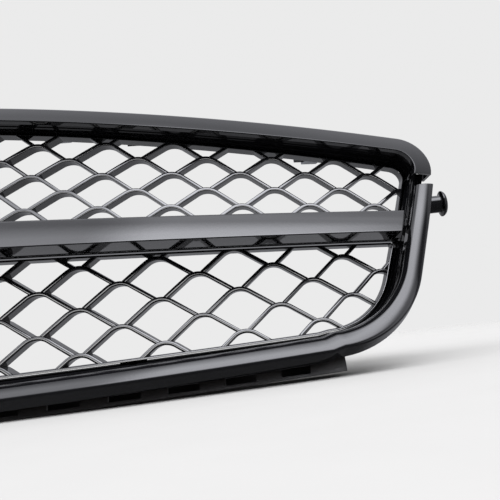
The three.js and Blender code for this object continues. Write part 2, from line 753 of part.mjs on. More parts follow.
// A spring nut: a thin clip bent around the end of the bracket's tongue.
function springNut(place) {
  const [low, high] = [BRACKET_HEIGHT - BRACKET_PLATE - GAP, BRACKET_HEIGHT + GAP];
  const plate = 1;
  const half = CLIP_WIDTH / 2;
  const end = BRACKET_TONGUE + GAP;
  const start = end - CLIP_LENGTH;
  const shell = block([-half, start, low - plate], [half, end + plate, high + plate]);
  const slot = block([-half - 1, start - 1, low], [half + 1, end, high]);
  const clip = cut(shell, slot, tongueDrill(TONGUE_HOLE.radius - 0.8));
  return clip.applyMatrix4(bracketFrame(place));
}

// A locating stud: a foot, a shank and a domed head, turned about a sideways axis.
function sideStud() {
  const profile = [
    [0, 0], [6.4, 0], [6.4, 1.4], [5.5, 2.2], [5.5, 15.4], [8.2, 15.8],
    [7, 18], [4, 19], [0, 19],
  ];
  const seat = onShell(STUD.x, STUD.depth, STUD.z);
  return turned(profile, HOLE_STEPS).rotateZ(-Math.PI / 2).translate(STUD.x, seat.y, seat.z);
}

// ---------------------------------------------------------------- lower rail

const RAIL_SCREWS = [-230, -140, -50, 50, 140, 230];
const railFoot = footAt(RAIL_FOOT, RAIL_BOW);
const railDeck = footAt(RAIL_DECK, RAIL_BOW);

function railEdge(height, depth) {
  const steps = 18;
  const points = [];
  for (let i = 0; i <= steps; i++) {
    const x = RAIL_HALF * ((2 * i) / steps - 1);
    points.push([x, depth, height(x)]);
  }
  return points;
}

// The rail under the trim: a channel that hangs from bosses, with windows in its front wall.
function lowerRail() {
  const deckUnder = (x) => railDeck(x) - WALL;
  const wallBack = RAIL_FRONT + WALL;
  const rearFront = RAIL_BACK - WALL;
  const channel = loft([
    railEdge(railDeck, RAIL_FRONT), railEdge(railFoot, RAIL_FRONT), railEdge(railFoot, wallBack),
    railEdge(deckUnder, wallBack), railEdge(deckUnder, rearFront), railEdge(railFoot, rearFront),
    railEdge(railFoot, RAIL_BACK), railEdge(railDeck, RAIL_BACK),
  ], false);
  const bosses = RAIL_SCREWS.map((x) =>
    block([x - 7, -7, railDeck(x) - 1], [x + 7, 3, openingFoot(x) - 6.2]));
  const windows = Array.from({ length: WINDOW.count }, (_, i) => {
    const [x, half] = [(i - (WINDOW.count - 1) / 2) * WINDOW.pitch, WINDOW.width / 2];
    const low = railFoot(x) + 1.6;
    return block([x - half, RAIL_FRONT - 2, low], [x + half, wallBack + 1, low + WINDOW.height]);
  });
  return cut(bend(cut(joined(channel, ...bosses), ...windows)), ...RAIL_SCREWS.map(railBore));
}

const railSeat = (x) => onShell(x, -2, railDeck(x));

function railBore(x) {
  const seat = railSeat(x);
  const drill = new THREE.CylinderGeometry(SCREW_BORE, SCREW_BORE, 20, ROUND_STEPS);
  return drill.rotateX(Math.PI / 2).translate(seat.x, seat.y, seat.z);
}

function railScrew(x) {
  const seat = railSeat(x);
  const under = WALL + 2 * GAP;
  const profile = [[0, -2.4], [2.6, -2.4], [3.4, 0], [1.5, 0], [1.5, 5], [0, 5.6]];
  const body = turned(profile, ROUND_STEPS);
  return body.rotateX(Math.PI / 2).translate(seat.x, seat.y, seat.z - under);
}

// ---------------------------------------------------------------- assembly

function glossBlack(shade, roughness) {
  return new THREE.MeshStandardMaterial({ color: shade, roughness, metalness: 0 });
}

const rimFinish = () => glossBlack(0x1b1c1e, 0.16);
const bladeFinish = () => glossBlack(0x1e1e20, 0.14);
const trimFinish = () => glossBlack(0x1a1b1e, 0.1);
const latticeFinish = () => glossBlack(0x141415, 0.22);
const frameFinish = () => glossBlack(0x101011, 0.2);
const railFinish = () => glossBlack(0x1a1716, 0.45);
const badgeFinish = () => glossBlack(0x161618, 0.12);
const steelFinish = () =>
  new THREE.MeshStandardMaterial({ color: 0x8d9094, roughness: 0.4, metalness: 0.9 });

function piece(name, geometry, material) {
  const mesh = new THREE.Mesh(geometry, material);
  mesh.name = name;
  return mesh;
}

function pair(name, geometry, finish) {
  return [
    piece(`${name}_right`, geometry, finish()),
    piece(`${name}_left`, mirrored(geometry), finish()),
  ];
}

function numbered(name, places, make, finish) {
  return places.map((place, i) => piece(`${name}_${i + 1}`, make(place), finish()));
}

function groupOf(...children) {
  const group = new THREE.Group();
  group.add(...children);
  return group;
}

const surround = groupOf(
  piece("surround_frame", surroundFrame(), frameFinish()),
  piece("top_rim", topRim(), rimFinish()),
  piece("lower_trim", lowerTrim(), trimFinish()),
  ...pair("side_stud", sideStud(), frameFinish),
);

const lattice = groupOf(
  ...pair("upper_lattice", upperPanel(), latticeFinish),
  ...pair("lower_lattice", lowerPanel(), latticeFinish),
  ...numbered("panel_tab", TAB_PLACES, panelTab, steelFinish),
  ...numbered("tab_screw", TAB_PLACES, tabScrew, steelFinish),
);

const crossBlade = groupOf(
  ...pair("blade", blade(), bladeFinish),
  ...pair("blade_shelf", bladeShelf(), frameFinish),
);

const badge = groupOf(
  piece("badge_carrier", badgeCarrier(), frameFinish()),
  piece("badge_ring", badgeRing(), badgeFinish()),
  piece("badge_plate", badgePlate(), badgeFinish()),
  ...numbered("badge_nut", BADGE_PEGS, badgeNut, steelFinish),
);

const mounting = groupOf(
  piece("lower_rail", lowerRail(), railFinish()),
  ...numbered("rail_screw", RAIL_SCREWS, railScrew, steelFinish),
  ...numbered("hood_bracket", BRACKET_PLACES, hoodBracket, steelFinish),
  ...numbered("bracket_screw", BRACKET_PLACES, bracketScrew, steelFinish),
  ...numbered("spring_nut", BRACKET_PLACES, springNut, steelFinish),
);

const grille = groupOf(surround, lattice, crossBlade, badge, mounting);
const extent = new THREE.Box3().setFromObject(grille);
grille.position.set(0, -(extent.min.y + extent.max.y) / 2, -extent.min.z);

export default grille;
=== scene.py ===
# Looks of the front grille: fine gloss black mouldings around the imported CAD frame, on a pale
# floor under soft studio light. Blender works in metres; the drawing helpers below work in
# millimetres, "flat" as (x, depth, z), and are bent onto the grille's shell at the end.

import json
import math
from functools import reduce

import bmesh
import bpy
import numpy as np
from mathutils import Matrix, Vector

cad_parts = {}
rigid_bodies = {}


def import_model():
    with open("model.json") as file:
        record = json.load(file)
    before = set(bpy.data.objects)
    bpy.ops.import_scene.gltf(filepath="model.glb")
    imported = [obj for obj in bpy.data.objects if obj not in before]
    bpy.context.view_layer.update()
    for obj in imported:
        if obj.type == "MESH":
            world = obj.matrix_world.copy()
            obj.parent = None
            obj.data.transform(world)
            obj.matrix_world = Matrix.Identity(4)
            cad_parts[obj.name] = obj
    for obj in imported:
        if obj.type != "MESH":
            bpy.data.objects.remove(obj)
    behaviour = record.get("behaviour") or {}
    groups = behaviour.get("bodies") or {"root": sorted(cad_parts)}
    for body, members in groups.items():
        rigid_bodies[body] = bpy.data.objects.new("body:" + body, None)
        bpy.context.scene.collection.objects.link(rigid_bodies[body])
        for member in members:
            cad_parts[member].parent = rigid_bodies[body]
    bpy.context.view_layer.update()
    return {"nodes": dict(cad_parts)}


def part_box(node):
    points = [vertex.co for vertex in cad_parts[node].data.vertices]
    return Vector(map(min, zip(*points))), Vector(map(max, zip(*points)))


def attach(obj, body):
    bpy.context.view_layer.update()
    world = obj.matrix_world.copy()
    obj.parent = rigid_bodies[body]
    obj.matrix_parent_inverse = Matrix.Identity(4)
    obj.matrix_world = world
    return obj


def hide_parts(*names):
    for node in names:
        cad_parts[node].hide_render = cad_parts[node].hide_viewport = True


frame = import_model()
MM = 0.001

# Shell and outline, the driving dimensions of the CAD, in millimetres
BOW = 0.545e-3
LEAN_UPPER, LEAN_LOWER, KNEE = 0.534, 0.389, 10.0
CROWN, CROWN_SOFTNESS = 111.0, 40.0
SHOULDER_SLOPE, SHOULDER_BOW = 0.1296, 5.92e-5
SIDE_SPLAY = 0.43
RIM_FACE, RIM_HALF, RIM_END = 11.9, 339.2, 31.0
TRIM_END = 22.8
OPENING_HALF = 325.0
WALL, GAP = 2.2, 0.3
FLANGE_BACK = 10.0
BLADE_FRONT, BLADE_BACK, BLADE_HALF, SHELF_RISE = -41.0, -20.3, 320.0, 2.4
STEP_X, STEP_Z = 21.0, 11.79
ARCH_RADIUS, ARCH_SLOPE = 10.0, 0.77
ARCH_FOOT = 2.65  # from the end of an arch to the crest that it stands on
FOOT_DROP = 0.45  # how far an arch dives behind that crest
LATTICE_BAR, PANEL_DEPTH, PANEL_BORDER = 2.3, 10.0, 1.2
POST_HALF = 11.5
BADGE_RADIUS, BADGE_HEIGHT, BADGE_FRONT, PLATE_RADIUS = 74.0, 13.0, -46.0, 66.0
RAIL_HALF, RAIL_FRONT, RAIL_BACK = 274.0, -11.5, 12.0
RAIL_FOOT, RAIL_DECK, RAIL_BOW = -84.0, -74.6, 3.3e-5
RAIL_SCREWS = (-230, -140, -50, 50, 140, 230)
WINDOW_PITCH, WINDOW_WIDTH, WINDOW_HEIGHT, WINDOW_COUNT = 27.5, 15.0, 4.4, 19
WINDOW_SILL = 1.6  # from the rail's foot up to its windows
PEG_CIRCLE, PEG_RADIUS, PEG_BORE = 44.0, 2.0, 2.6
SCREW_BORE = 1.9
TAB_RISE, TAB_DROP, BRACKET_RISE = 4.2, 4.9, 4.7  # screws above and below the opening
STUD_SEAT = (340.1, -4.0, 11.4)

# Fineness of the meshes
TOP_STEPS, CORNER_STEPS, SIDE_STEPS, ELBOW_STEPS, FOOT_STEPS = 44, 14, 10, 20, 44


# ------------------------------------------------------------------ shell and edges

def lean(z):
    mean, half = (LEAN_UPPER + LEAN_LOWER) / 2, (LEAN_UPPER - LEAN_LOWER) / 2
    return mean * z + half * (np.hypot(z, KNEE) - KNEE)


def bent(points):
    p = np.array(points, float)
    p[..., 1] += BOW * p[..., 0] ** 2 + lean(p[..., 2])
    return p * MM


def datum():
    """Where the CAD puts the drawing's datum in metres, read off a stud's known place."""
    low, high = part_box("side_stud_right")
    middle = (np.array(low) + np.array(high)) / 2
    return (middle - bent(STUD_SEAT)) * [0, 1, 1]


DATUM = datum()


def on_shell(points):
    """Flat (x, depth, z) millimetres to metres on the shell."""
    return bent(points) + DATUM


def rim_top(x):
    return CROWN - SHOULDER_SLOPE * np.hypot(x, CROWN_SOFTNESS) - SHOULDER_BOW * x * x


def opening_top(x):
    return rim_top(x) - RIM_FACE + 1.3 - 4.9e-5 * x * x


def opening_foot(x):
    return -65.9 + 5.2e-5 * x * x


def blade_top(x):
    return 20.4 - 0.081 * abs(x) + 7.6e-5 * x * x


def blade_foot(x):
    return 2.6 - 0.0575 * abs(x) + 4e-5 * x * x


def unit(vector):
    return np.array(vector, float) / np.linalg.norm(vector)


def meet(curve, half, guess):
    """The corner where a top or foot curve meets the slanted side, as (x, z)."""
    z = guess
    for _ in range(30):
        z = curve(half + SIDE_SPLAY * z)
    return np.array([half + SIDE_SPLAY * z, z])


def round_corner(corner, before, after, radius, steps):
    """Points of the arc that rounds a corner between two arms."""
    half = math.acos(np.clip(before @ after, -1, 1)) / 2
    centre = corner + unit(before + after) * radius / math.sin(half)
    start = corner + before * radius / math.tan(half) - centre
    end = corner + after * radius / math.tan(half) - centre
    turn = np.sign(start[0] * end[1] - start[1] * end[0])
    angles = turn * (math.pi - 2 * half) * np.arange(steps + 1) / steps
    cos, sin = np.cos(angles), np.sin(angles)
    arc = np.stack([cos * start[0] - sin * start[1], sin * start[0] + cos * start[1]], 1)
    return arc + centre


SIDE_DOWN = unit([-SIDE_SPLAY, -1])
INWARD = np.array([-1.0, 0.0])


def half_edge(half, top=None, foot=None, top_radius=0.0, foot_radius=0.0, depth=(0, 0, 0)):
    """Right half of an edge as (x, depth, z): top run, side run, foot run."""
    runs = []
    high = np.array([half + SIDE_SPLAY * TRIM_END, TRIM_END])
    low = np.array([half + SIDE_SPLAY * RIM_END, RIM_END])
    if top:
        corner = meet(top, half, 60)
        back = unit([-8, top(corner[0] - 8) - corner[1]])
        arc = round_corner(corner, back, SIDE_DOWN, top_radius, CORNER_STEPS)
        x = arc[0][0] * np.arange(TOP_STEPS) / TOP_STEPS
        runs.append(np.stack([x, np.full(TOP_STEPS, float(depth[0])), top(x)], 1))
        ease = np.linspace(depth[0], depth[1], CORNER_STEPS + 1)
        runs.append(np.stack([arc[:, 0], ease, arc[:, 1]], 1))
        high = arc[-1]
    if foot:
        corner = meet(foot, half, -70)
        elbow = round_corner(corner, -SIDE_DOWN, INWARD, foot_radius, ELBOW_STEPS)
        low = elbow[0]
    share = np.linspace(0, 1, SIDE_STEPS + 1)[:, None]
    side = high * (1 - share) + low * share
    side = side[1 if top else 0 : -1 if foot else None]
    runs.append(np.stack([side[:, 0], np.full(len(side), float(depth[1])), side[:, 1]], 1))
    if foot:
        ease = np.linspace(depth[1], depth[2], ELBOW_STEPS + 1)
        runs.append(np.stack([elbow[:, 0], ease, elbow[:, 1]], 1))
        x = elbow[-1][0] * np.arange(FOOT_STEPS - 1, -1, -1) / FOOT_STEPS
        runs.append(np.stack([x, np.full(FOOT_STEPS, float(depth[2])), foot(x)], 1))
    return np.concatenate(runs)


def whole_edge(half, top=None, foot=None, **shape):
    """A whole edge; edges with a top and a foot close on themselves."""
    right = half_edge(half, top, foot, **shape)
    left = right[::-1] * [-1, 1, 1]
    if top and foot:
        return np.concatenate([right, left[1:-1]])
    if top:
        return np.concatenate([right[:0:-1], right * [-1, 1, 1]])
    return np.concatenate([right, left[1:]])


# ------------------------------------------------------------------ sections and lofts

def rounded(sections, radii, steps=4):
    """Rounds the corners of every section; a radius is cut down where its sides are short."""
    sections = np.asarray(sections, float)
    count = sections.shape[1]
    columns = []
    for k in range(count):
        here = sections[:, k]
        before, after = sections[:, k - 1] - here, sections[:, (k + 1) % count] - here
        if radii[k] <= 0:
            columns.append(here)
            continue
        lengths = [np.linalg.norm(side, axis=1, keepdims=True) for side in (before, after)]
        reach = np.minimum(radii[k], 0.46 * np.minimum(*lengths))
        start = here + before / lengths[0] * reach
        end = here + after / lengths[1] * reach
        for t in np.linspace(0, 1, steps + 1):
            columns.append(start * (1 - t) ** 2 + here * 2 * t * (1 - t) + end * t * t)
    return np.stack(columns, 1)


def eased_ends(sections, radius=0.4, steps=3):
    """Rounds the rims of a loft's two flat ends."""
    rings = list(sections)
    for end, inner in ((0, 1), (-1, -2)):
        here = sections[end]
        along = unit(sections[inner].mean(0) - here.mean(0))
        tangent = np.roll(here, -1, 0) - np.roll(here, 1, 0)
        inward = np.cross(along, tangent)
        inward /= np.linalg.norm(inward, axis=1, keepdims=True) + 1e-12
        spread = np.linalg.norm(here - here.mean(0), axis=1)
        middle = here[spread.argmax()]
        if (inward[spread.argmax()] @ (here.mean(0) - middle)) < 0:
            inward = -inward
        curl = []
        for angle in np.linspace(0, math.pi / 2, steps + 1):
            inset, move = radius * (1 - math.sin(angle)), radius * (1 - math.cos(angle))
            curl.append(here + inward * inset + along * move)
        if end == 0:
            rings = curl + rings[1:]
        else:
            rings = rings[:-1] + curl[::-1]
    return np.array(rings)


def loft_faces(rings, count, closed):
    faces = []
    for r in range(rings if closed else rings - 1):
        a, b = r * count, (r + 1) % rings * count
        for k in range(count):
            n = (k + 1) % count
            faces.append((a + k, a + n, b + n, b + k))
    if not closed:
        faces.append(tuple(range(count))[::-1])
        faces.append(tuple((rings - 1) * count + k for k in range(count)))
    return faces


def mesh_of(name, points, faces):
    mesh = bpy.data.meshes.new(name)
    mesh.from_pydata([tuple(p) for p in points], [], faces)
    body = bmesh.new()
    body.from_mesh(mesh)
    bmesh.ops.remove_doubles(body, verts=body.verts, dist=1e-7)
    bmesh.ops.recalc_face_normals(body, faces=body.faces)
    body.to_mesh(mesh)
    body.free()
    return mesh


def unbent(points):
    """For a loft that stays flat until it has been cut."""
    return points


def loft_mesh(name, sections, closed, to_metres=on_shell):
    sections = np.asarray(sections)
    rings, count = sections.shape[:2]
    points = to_metres(sections.reshape(-1, 3))
    return mesh_of(name, points, loft_faces(rings, count, closed))


def bend_mesh(mesh):
    """Bends a mesh that was drawn flat onto the shell."""
    points = np.empty(len(mesh.vertices) * 3)
    mesh.vertices.foreach_get("co", points)
    mesh.vertices.foreach_set("co", on_shell(points.reshape(-1, 3)).ravel())
    mesh.update()


def drawn(edges):
    """Equally long edges, side by side, as sections."""
    return np.stack(edges, 1)


# ------------------------------------------------------------------ pieces

SHARP_ANGLE = 32  # degrees from which an edge is drawn sharp


def shade(piece):
    """Smooth shading that follows the flat faces and stops at sharp edges."""
    mesh = piece.data
    mesh.polygons.foreach_set("use_smooth", [True] * len(mesh.polygons))
    mesh.set_sharp_from_angle(angle=math.radians(SHARP_ANGLE))
    normals = piece.modifiers.new("face_weighted_normals", "WEIGHTED_NORMAL")
    normals.keep_sharp = True


def place(name, mesh, material, slot, *nodes):
    """A piece that stands for CAD nodes, on the grille's one body."""
    piece = bpy.data.objects.new(name, mesh)
    bpy.context.scene.collection.objects.link(piece)
    mesh.materials.clear()
    mesh.materials.append(material)
    shade(piece)
    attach(piece, "root")
    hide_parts(*nodes)


def mirrored_mesh(mesh, name):
    copy = mesh.copy()
    copy.name = name
    copy.transform(Matrix.Diagonal((-1, 1, 1, 1)))
    copy.flip_normals()
    return copy


def boolean(first, second, operation):
    """Joins, cuts or intersects two closed meshes and returns the new mesh."""
    objects = []
    for mesh in (first, second):
        body = bpy.data.objects.new("operand", mesh)
        bpy.context.scene.collection.objects.link(body)
        objects.append(body)
    step = objects[0].modifiers.new("cut", "BOOLEAN")
    step.operation, step.object, step.solver = operation, objects[1], "MANIFOLD"
    graph = bpy.context.evaluated_depsgraph_get()
    result = bpy.data.meshes.new_from_object(objects[0].evaluated_get(graph))
    for body in objects:
        bpy.data.objects.remove(body)
    return result


# ------------------------------------------------------------------ turned pieces

def turned_mesh(name, profile, segments, to_metres):
    """A solid of revolution about the Y axis from [radius, y] points, on or off the axis."""
    angles = 2 * math.pi * np.arange(segments) / segments
    rings = [np.array([[r * math.cos(a), y, r * math.sin(a)] for r, y in profile]) for a in angles]
    return loft_mesh(name, rings, True, to_metres)


def shell_frame(x, depth, z):
    """Matrix of a place on the shell: X runs along it, Y goes straight through it."""
    along = Vector((1, 2 * BOW * x, 0)).normalized()
    rise = float(lean(z + 1) - lean(z - 1)) / 2
    through = Vector((0, rise, 1)).cross(along).normalized()
    upright = along.cross(through)
    frame_matrix = Matrix((along, through, upright)).transposed().to_4x4()
    frame_matrix.translation = Vector(on_shell([x, depth, z]))
    return frame_matrix


def seated_mesh(name, profile, segments, matrix):
    """A turned piece in millimetres whose axis is the Y axis of a matrix in metres."""
    mesh = turned_mesh(name, profile, segments, lambda points: points * MM)
    mesh.transform(matrix)
    return mesh


def drill_mesh(radius, reach, segments, matrix):
    """A plain cylinder that drills a hole as far as its reach both ways."""
    profile = [(0, -reach), (radius, -reach), (radius, reach), (0, reach)]
    return seated_mesh("drill", profile, segments, matrix)


TAB_PLACES = [(side * x, FLANGE_BACK + GAP, z)
              for x, z in [*((x, float(opening_top(x)) + TAB_RISE) for x in (60, 165, 250)),
                           (165, float(opening_foot(165)) - TAB_DROP)]
              for side in (1, -1)]
BRACKET_PLACES = [(side * x, FLANGE_BACK + 2 * GAP, float(opening_top(x)) + BRACKET_RISE)
                  for x in (110, 290) for side in (1, -1)]


# ------------------------------------------------------------------ rim, trim and surround

def rim_edge(drop, half, radius, depth):
    """An edge of the rim: drop below its crown line, half width, corner radius, depth."""
    return whole_edge(half, top=lambda x: rim_top(x) - drop, top_radius=radius,
                      depth=(depth, depth, depth))


def top_rim_mesh():
    edges = [
        rim_edge(0, RIM_HALF, 21, -21),
        rim_edge(RIM_FACE / 2, 332.6, 16.2, -23.3),
        rim_edge(RIM_FACE, 325.7, 11.5, -25),
        rim_edge(RIM_FACE + 0.3, 325.4, 11.5, -19),
        rim_edge(RIM_FACE - WALL, 327.9, 13, -19),
        rim_edge(RIM_FACE - WALL, 327.9, 13, -22.5),
        rim_edge(WALL, 336.7, 19, -18.7),
        rim_edge(WALL, 336.7, 19, -2),
        rim_edge(0, RIM_HALF, 21, -2),
    ]
    sections = rounded(drawn(edges), [1.3, 6, 1.1, 0.4, 0.3, 0.5, 0.6, 0.3, 0.3], 5)
    return loft_mesh("top_rim", eased_ends(sections), False)


def trim_edge(half, height, rise, radius, side_depth, foot_depth):
    """An edge of the trim: half width, foot curve, corner radius, depths at side and foot."""
    return whole_edge(half, foot=lambda x: height + rise * x * x, foot_radius=radius,
                      depth=(side_depth, side_depth, foot_depth))


def lower_trim_mesh():
    inner, middle, outer = 7.9e-5, 6.9e-5, 6e-5
    edges = [
        trim_edge(328.4, -68.5, inner, 50.5, -12.4, -12.4),
        trim_edge(328.3, -68.6, inner, 50.5, -22.5, -20.5),
        trim_edge(330.6, -69.4, inner, 51.5, -24.8, -23.6),
        trim_edge(335.5, -72.2, middle, 53.5, -25.9, -25.4),
        trim_edge(340.4, -74.8, outer, 55.5, -24.4, -26.2),
        trim_edge(342, -80.3, outer, 61, -14, -15),
        trim_edge(339.8, -78.4, outer, 59, -14, -14),
        trim_edge(338.2, -73.8, outer, 55, -22.3, -23.5),
        trim_edge(335.5, -72, middle, 54, -23.7, -22.9),
        trim_edge(332.3, -71.2, inner, 52, -22.8, -21.6),
        trim_edge(330.6, -70.7, inner, 51, -21, -19.4),
        trim_edge(330.6, -70.7, inner, 51, -12.4, -12.4),
    ]
    radii = [0.3, 1.6, 2.6, 2.6, 1.8, 0.7, 0.4, 1, 1, 1, 1, 0.3]
    return loft_mesh("lower_trim", eased_ends(rounded(drawn(edges), radii, 5)), False)


def ring_edge(top, half, foot, top_radius, foot_radius, depth):
    """A closed edge round the opening, at one depth or at those of top, side and foot."""
    depth = depth if isinstance(depth, tuple) else (depth,) * 3
    return whole_edge(half, top=top, foot=foot, top_radius=top_radius,
                      foot_radius=foot_radius, depth=depth)


def prism_mesh(outline, front, back):
    """A solid with an outline of (x, z) corners between two depths, its edges softened."""
    rings = [[(x, depth, z) for x, z in outline] for depth in np.linspace(front, back, 6)]
    rings = rounded(np.array(rings), [0.6] * len(outline), 3)
    return loft_mesh("prism", eased_ends(rings, 0.5), False)


def stepped(front, back, outer, steps):
    """Edges of small steps down a wall: (share of the way back, offset to the outside)."""
    outward = outer - front
    outward /= np.linalg.norm(outward, axis=1, keepdims=True)
    return [front * (1 - share) + back * share + outward * offset for share, offset in steps]


def surround_mesh():
    half = OPENING_HALF + 2.6
    front = (-18.7, -12.0, -12.0)
    foot_below = lambda drop: lambda x: opening_foot(x) - drop
    top_below = lambda drop: lambda x: rim_top(x) - drop
    inner_front = ring_edge(top_below(RIM_FACE - 1.2), half, foot_below(3.3), 11, 50.5, front)
    inner_back = ring_edge(opening_top, OPENING_HALF, opening_foot, 9, 44, FLANGE_BACK)
    outer_front = ring_edge(top_below(RIM_FACE - 1.5 - WALL), half + 2.5, foot_below(5.8),
                            13, 52.5, front)
    ledges = [(0, 0.9), (0.3, 0.9), (0.31, 0.45), (0.56, 0.45), (0.57, 0)]
    edges = [
        *stepped(inner_front, inner_back, outer_front, ledges),
        inner_back,
        ring_edge(top_below(1), half + 9.4, foot_below(7.9), 19, 50, FLANGE_BACK),
        ring_edge(top_below(1), half + 9.4, foot_below(7.9), 19, 50, FLANGE_BACK - 2.5),
        ring_edge(lambda x: opening_top(x) + 2.5, half, foot_below(2.5), 11, 46.5,
                  FLANGE_BACK - 2.5),
        outer_front,
    ]
    radii = [0.35, 0.12, 0.2, 0.12, 0.2, 0.4, 0.5, 0.5, 1.2, 0.4]
    body = loft_mesh("surround_frame", rounded(drawn(edges), radii, 3), True)
    side = lambda reach, z: (OPENING_HALF + reach + SIDE_SPLAY * z, z)
    boss = [side(2.7, 3), (STUD_SEAT[0] - GAP, 3), (STUD_SEAT[0] - GAP, 20), side(2.7, 20)]
    lug = [side(2.7, 19), side(10.8, 19), side(10.8, 35), side(2.7, 35)]
    for outline, front_depth, back_depth in ((boss, -9.5, 1.5), (lug, -9.5, -5.5)):
        block = prism_mesh(outline, front_depth, back_depth)
        for part in (block, mirrored_mesh(block, "block")):
            body = boolean(body, part, "UNION")
    for x, depth, z in (*TAB_PLACES, *BRACKET_PLACES):
        drill = drill_mesh(SCREW_BORE, 9, 32, shell_frame(x, depth, z))
        body = boolean(body, drill, "DIFFERENCE")
    return body


# ------------------------------------------------------------------ lattice

def arch_points():
    """Centre line of an arch as points and its outward normals, from foot to foot."""
    bank = math.atan(ARCH_SLOPE)
    blend = ARCH_RADIUS * math.sin(bank)
    foot = STEP_X - ARCH_FOOT
    crown = [(ARCH_RADIUS * math.sin(a), ARCH_RADIUS * (math.cos(a) - 1), a)
             for a in np.linspace(0, bank, 9)]
    flank = [(x, crown[-1][1] - ARCH_SLOPE * (x - blend), bank)
             for x in np.linspace(blend, foot, 6)[1:]]
    right = np.array(crown + flank)
    left = right[:0:-1] * [-1, 1, -1]
    return np.concatenate([left, right])


def bar_profile():
    """Section of a bar as (offset outward, depth): a crowned face, round edges, draft."""
    half, face = LATTICE_BAR / 2, 0.34
    crown_radius, upper, lower = 2.2, 0.3, 0.75
    lean_up, lean_down = math.radians(17), math.radians(-30)
    points = [(half - 0.12, PANEL_DEPTH)]
    turn = crown_radius * math.sin(lean_up)
    top = half - upper
    for angle in np.linspace(math.pi / 2, lean_up, 5):
        points.append((top + upper * math.sin(angle), face + upper * (1 - math.cos(angle))))
    shift = top + upper * math.sin(lean_up) - turn
    base = face + upper * (1 - math.cos(lean_up)) - crown_radius * (1 - math.cos(lean_up))
    for angle in np.linspace(lean_up, lean_down, 7)[1:-1]:
        points.append((shift + crown_radius * math.sin(angle),
                       base + crown_radius * (1 - math.cos(angle))))
    low = shift + crown_radius * math.sin(lean_down)
    deep = base + crown_radius * (1 - math.cos(lean_down))
    edge = low - lower * math.sin(lean_down)
    for angle in np.linspace(lean_down, -math.pi / 2, 7):
        points.append((edge + lower * math.sin(angle),
                       deep + lower * (math.cos(lean_down) - math.cos(angle))))
    points.append((points[-1][0] + 0.08, PANEL_DEPTH))
    return np.array(points)


def arch_sections(crest, across, down):
    """One arch, swept, in the flat drawing; its feet dive a little under their neighbours."""
    line, profile = arch_points(), bar_profile()
    share = np.clip((np.abs(line[:, 0]) - 8) / (STEP_X - ARCH_FOOT - 8), 0, 1)
    sections = []
    for (u, v, angle), dive in zip(line, share * share):
        n = profile[:, 0]
        uu, vv = u + n * math.sin(angle), v + n * math.cos(angle)
        x = crest[0] + (uu * across[0]) / STEP_X - vv * down[0] / STEP_Z
        z = crest[1] + (uu * across[1]) / STEP_X + vv
        depth = profile[:, 1] + dive * FOOT_DROP * (1 - profile[:, 1] / PANEL_DEPTH)
        sections.append(np.stack([x, depth, z], 1))
    return np.array(sections)


def row_mesh(lattice, row):
    """All arches of one row as separate closed shells in one mesh."""
    points, faces = [], []
    for column in range(-1, lattice["columns"]):
        if (column + row) % 2 != lattice["parity"]:
            continue
        crest = [lattice["origin"][k] + column * lattice["across"][k] + row * lattice["down"][k]
                 for k in (0, 1)]
        sections = arch_sections(crest, lattice["across"], lattice["down"])
        rings, count = sections.shape[:2]
        base = len(points)
        points.extend(sections.reshape(-1, 3))
        faces.extend(tuple(base + i for i in f) for f in loft_faces(rings, count, False))
    return mesh_of("row", np.array(points), faces)


def panel_outline(top, foot, top_radius, foot_radius, inset):
    """Closed outline of the right panel, inset all round."""
    edge = half_edge(OPENING_HALF - GAP - inset,
                     lambda x: top(x) - inset, lambda x: foot(x) + inset,
                     top_radius=max(top_radius - inset, 0.4),
                     foot_radius=max(foot_radius - inset, 0.4))
    inner = POST_HALF + GAP + inset
    kept = edge[edge[:, 0] > POST_HALF + GAP + 4]
    first = np.array([[inner, 0, top(inner) - inset]])
    last = np.array([[inner, 0, foot(inner) + inset]])
    return np.concatenate([first, kept, last])


def at_depth(outline, depth):
    return outline * [1, 0, 1] + [0, depth, 0]


def panel_mesh(name, lattice, **shape):
    """Bordered panel: rows of arches, cut to the field and joined to the border."""
    ring = [panel_outline(inset=inset, **shape) for inset in (0, PANEL_BORDER, PANEL_BORDER + 0.2)]
    edges = [at_depth(ring[0], 0.2), at_depth(ring[1], 0.2),
             at_depth(ring[2], PANEL_DEPTH - 0.05), at_depth(ring[0], PANEL_DEPTH - 0.05)]
    border = loft_mesh(name, rounded(drawn(edges), [0.5, 0.5, 0.2, 0.2], 3), True, unbent)
    field_line = panel_outline(inset=1.1, **shape)
    field = loft_mesh("field", [at_depth(field_line, -3), at_depth(field_line, 12)], False,
                      unbent)
    rows = row_mesh(lattice, -2)
    for row in range(-1, lattice["rows"]):
        rows = boolean(rows, row_mesh(lattice, row), "UNION")
    panel = boolean(border, boolean(rows, field, "INTERSECT"), "UNION")
    bend_mesh(panel)
    return panel


UPPER_LATTICE = dict(origin=(0, 82), across=(STEP_X, -1.323), down=(-0.384, -STEP_Z),
                     columns=18, rows=7, parity=1)
LOWER_LATTICE = dict(origin=(10.93, -15.6), across=(STEP_X, 0.735), down=(0.688, -STEP_Z),
                     columns=16, rows=5, parity=0)
UPPER_SHAPE = dict(top=lambda x: opening_top(x) - 2 * GAP, foot=lambda x: blade_top(x) - 0.7,
                   top_radius=9, foot_radius=2)
LOWER_SHAPE = dict(top=lambda x: shelf_foot(x) + 0.65 * SHELF_RISE - GAP,
                   foot=lambda x: opening_foot(x) + GAP, top_radius=2, foot_radius=44)


# ------------------------------------------------------------------ blade, shelf and badge

def wing_edge(start, half, height, depth, steps=64):
    """One long edge of the blade or its shelf, from the middle to the slanted end."""
    end = half
    for _ in range(20):
        end = half + SIDE_SPLAY * height(end)
    x = np.linspace(start, end, steps + 1)
    return np.stack([x, np.full(steps + 1, float(depth)), height(x)], 1)


def shelf_top(x):
    return blade_top(x) - 0.5


def shelf_foot(x):
    return blade_foot(x) - 1.3


